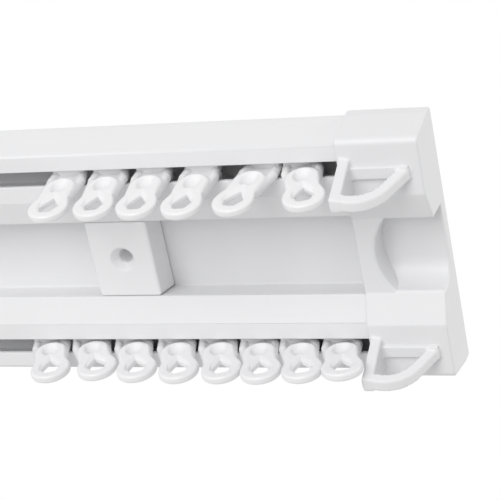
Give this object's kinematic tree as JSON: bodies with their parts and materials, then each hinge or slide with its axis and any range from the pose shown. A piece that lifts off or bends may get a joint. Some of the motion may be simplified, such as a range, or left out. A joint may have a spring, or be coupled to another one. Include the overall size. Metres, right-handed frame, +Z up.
{
  "type": "double curtain track",
  "caption": "White plastic double curtain track for a ceiling: one extrusion with parallel slotted rails, capped ends with hook loops, dovetail mounting blocks and sliding gliders.",
  "frame": {"origin": "on the ceiling face, at the middle of the track's length and width", "axes": "+X along the track, +Y across it towards the far rail, +Z up into the ceiling"},
  "size_m": [0.5, 0.08, 0.0377],
  "materials": {
    "track_plastic": "extruded white plastic, satin",
    "cap_plastic": "moulded white plastic, satin",
    "block_plastic": "moulded white plastic, matte",
    "glider_plastic": "moulded white nylon, smooth"
  },
  "bodies": {
    "track": {"track_profile": "track_plastic", "end_cap_right": "cap_plastic", "end_cap_left": "cap_plastic", "mounting_block_right": "block_plastic", "mounting_block_left": "block_plastic"},
    "near_glider_1": {"near_glider_1": "glider_plastic"},
    "near_glider_2": {"near_glider_2": "glider_plastic"},
    "near_glider_3": {"near_glider_3": "glider_plastic"},
    "near_glider_4": {"near_glider_4": "glider_plastic"},
    "near_glider_5": {"near_glider_5": "glider_plastic"},
    "near_glider_6": {"near_glider_6": "glider_plastic"},
    "far_glider_1": {"far_glider_1": "glider_plastic"},
    "far_glider_2": {"far_glider_2": "glider_plastic"},
    "far_glider_3": {"far_glider_3": "glider_plastic"},
    "far_glider_4": {"far_glider_4": "glider_plastic"},
    "far_glider_5": {"far_glider_5": "glider_plastic"},
    "far_glider_6": {"far_glider_6": "glider_plastic"},
    "far_glider_7": {"far_glider_7": "glider_plastic"},
    "far_glider_8": {"far_glider_8": "glider_plastic"}
  },
  "joints": [
    {"name": "near_glider_1_slide", "type": "slide", "parent": "track", "child": "near_glider_1", "axis": [-1, 0, 0], "range_m": [0, 0.05968]},
    {"name": "near_glider_2_slide", "type": "slide", "parent": "track", "child": "near_glider_2", "axis": [-1, 0, 0], "range_m": [0, 0.11934]},
    {"name": "near_glider_3_slide", "type": "slide", "parent": "track", "child": "near_glider_3", "axis": [-1, 0, 0], "range_m": [0, 0.17901]},
    {"name": "near_glider_4_slide", "type": "slide", "parent": "track", "child": "near_glider_4", "axis": [-1, 0, 0], "range_m": [0, 0.23868]},
    {"name": "near_glider_5_slide", "type": "slide", "parent": "track", "child": "near_glider_5", "axis": [-1, 0, 0], "range_m": [0, 0.29834]},
    {"name": "near_glider_6_slide", "type": "slide", "parent": "track", "child": "near_glider_6", "axis": [-1, 0, 0], "range_m": [0, 0.358]},
    {"name": "far_glider_1_slide", "type": "slide", "parent": "track", "child": "far_glider_1", "axis": [-1, 0, 0], "range_m": [0, 0.04226]},
    {"name": "far_glider_2_slide", "type": "slide", "parent": "track", "child": "far_glider_2", "axis": [-1, 0, 0], "range_m": [0, 0.08451]},
    {"name": "far_glider_3_slide", "type": "slide", "parent": "track", "child": "far_glider_3", "axis": [-1, 0, 0], "range_m": [0, 0.12676]},
    {"name": "far_glider_4_slide", "type": "slide", "parent": "track", "child": "far_glider_4", "axis": [-1, 0, 0], "range_m": [0, 0.16901]},
    {"name": "far_glider_5_slide", "type": "slide", "parent": "track", "child": "far_glider_5", "axis": [-1, 0, 0], "range_m": [0, 0.21126]},
    {"name": "far_glider_6_slide", "type": "slide", "parent": "track", "child": "far_glider_6", "axis": [-1, 0, 0], "range_m": [0, 0.25351]},
    {"name": "far_glider_7_slide", "type": "slide", "parent": "track", "child": "far_glider_7", "axis": [-1, 0, 0], "range_m": [0, 0.29576]},
    {"name": "far_glider_8_slide", "type": "slide", "parent": "track", "child": "far_glider_8", "axis": [-1, 0, 0], "range_m": [0, 0.338]}
  ],
  "couplings": [
    {"joint": "near_glider_1_slide", "follows": "near_glider_6_slide", "ratio": 0.16667},
    {"joint": "near_glider_2_slide", "follows": "near_glider_6_slide", "ratio": 0.33333},
    {"joint": "near_glider_3_slide", "follows": "near_glider_6_slide", "ratio": 0.5},
    {"joint": "near_glider_4_slide", "follows": "near_glider_6_slide", "ratio": 0.66667},
    {"joint": "near_glider_5_slide", "follows": "near_glider_6_slide", "ratio": 0.83333},
    {"joint": "far_glider_1_slide", "follows": "far_glider_8_slide", "ratio": 0.125},
    {"joint": "far_glider_2_slide", "follows": "far_glider_8_slide", "ratio": 0.25},
    {"joint": "far_glider_3_slide", "follows": "far_glider_8_slide", "ratio": 0.375},
    {"joint": "far_glider_4_slide", "follows": "far_glider_8_slide", "ratio": 0.5},
    {"joint": "far_glider_5_slide", "follows": "far_glider_8_slide", "ratio": 0.625},
    {"joint": "far_glider_6_slide", "follows": "far_glider_8_slide", "ratio": 0.75},
    {"joint": "far_glider_7_slide", "follows": "far_glider_8_slide", "ratio": 0.875}
  ]
}
